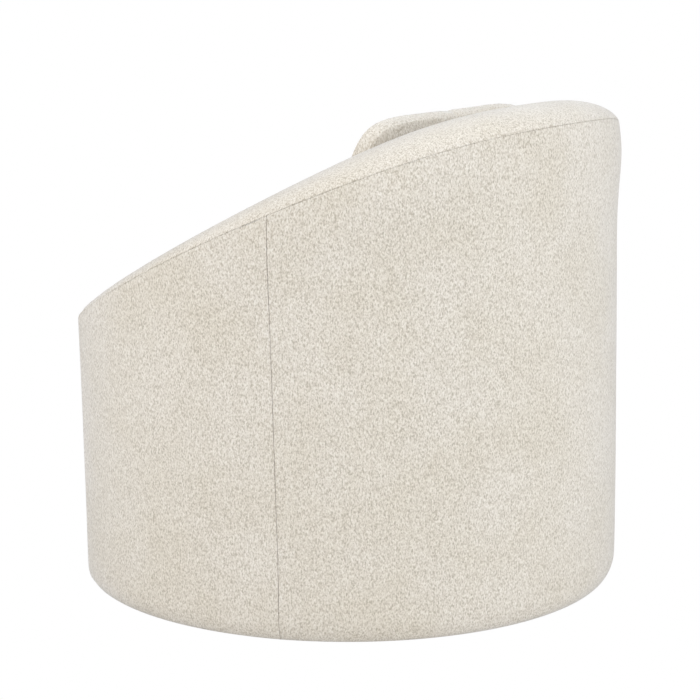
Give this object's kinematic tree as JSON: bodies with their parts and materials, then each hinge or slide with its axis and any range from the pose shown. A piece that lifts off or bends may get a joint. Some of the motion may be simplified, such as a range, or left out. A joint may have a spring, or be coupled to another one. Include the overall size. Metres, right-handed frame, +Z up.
{
  "type": "upholstered barrel armchair",
  "caption": "Low barrel armchair with a round upholstered wall, a rim that slopes down to the arms, a loose seat cushion and a lumbar pillow, on a hidden swivel base.",
  "frame": {"origin": "on the floor, on the vertical axis of the swivel base, under the middle of the chair", "axes": "+Z up, +Y towards the back of the chair, +X towards the sitter's left hand"},
  "size_m": [0.8672, 0.765, 0.7678],
  "materials": {
    "cover_fabric": "soft looped cream upholstery cloth",
    "foam": "open-cell foam",
    "wadding": "loose polyester fibre",
    "plywood": "unfinished plywood",
    "fibreboard": "smooth hard fibreboard",
    "webbing": "woven elastic webbing",
    "felt": "pressed felt",
    "deck_cloth": "plain woven lining",
    "dust_cloth": "thin non-woven cloth",
    "zinc_steel": "zinc-plated pressed steel",
    "bearing_steel": "polished balls",
    "cage_plastic": "moulded plastic",
    "glide_plastic": "moulded plastic"
  },
  "bodies": {
    "base": {"floor_glides": "glide_plastic", "base_board": "plywood", "lower_swivel_plate": "zinc_steel", "lower_plate_screws": "zinc_steel", "bearing_balls": "bearing_steel", "ball_cage": "cage_plastic", "axis_rivet": "zinc_steel"},
    "chair": {"upper_swivel_plate": "zinc_steel", "upper_plate_bolts": "zinc_steel", "upper_plate_nuts": "zinc_steel", "swivel_rails": "plywood", "bottom_ring": "plywood", "back_ribs": "plywood", "arm_ribs": "plywood", "arm_posts": "plywood", "front_ribs": "plywood", "seat_ring": "plywood", "support_blocks": "plywood", "top_rail": "plywood", "front_board": "fibreboard", "outer_board": "fibreboard", "inner_board": "fibreboard", "lengthwise_webbing": "webbing", "crosswise_webbing": "webbing", "deck_pad": "felt", "deck_cover": "deck_cloth", "outer_wadding": "wadding", "wall_foam_pad": "foam", "rim_foam": "foam", "left_arm_foam": "foam", "right_arm_foam": "foam", "edge_roll": "wadding", "front_foam_pad": "foam", "outside_back_cover": "cover_fabric", "outside_left_cover": "cover_fabric", "outside_right_cover": "cover_fabric", "rim_cover": "cover_fabric", "inside_cover": "cover_fabric", "front_cover": "cover_fabric", "dust_cover": "dust_cloth"},
    "seat_cushion": {"cushion_foam": "foam", "cushion_top_panel": "cover_fabric", "cushion_bottom_panel": "cover_fabric", "cushion_border": "cover_fabric"},
    "pillow": {"pillow_filling": "wadding", "pillow_front_panel": "cover_fabric", "pillow_back_panel": "cover_fabric", "pillow_border": "cover_fabric"}
  },
  "joints": [
    {"name": "swivel", "type": "hinge", "parent": "base", "child": "chair", "pos_m": [0, 0, 0], "axis": [0, 0, 1], "continuous": true},
    {"name": "cushion_lift", "type": "slide", "parent": "chair", "child": "seat_cushion", "axis": [0, 0, 1], "range_m": [0, 0.2]},
    {"name": "pillow_lift", "type": "slide", "parent": "seat_cushion", "child": "pillow", "axis": [0, 0, 1], "range_m": [0, 0.25]}
  ]
}
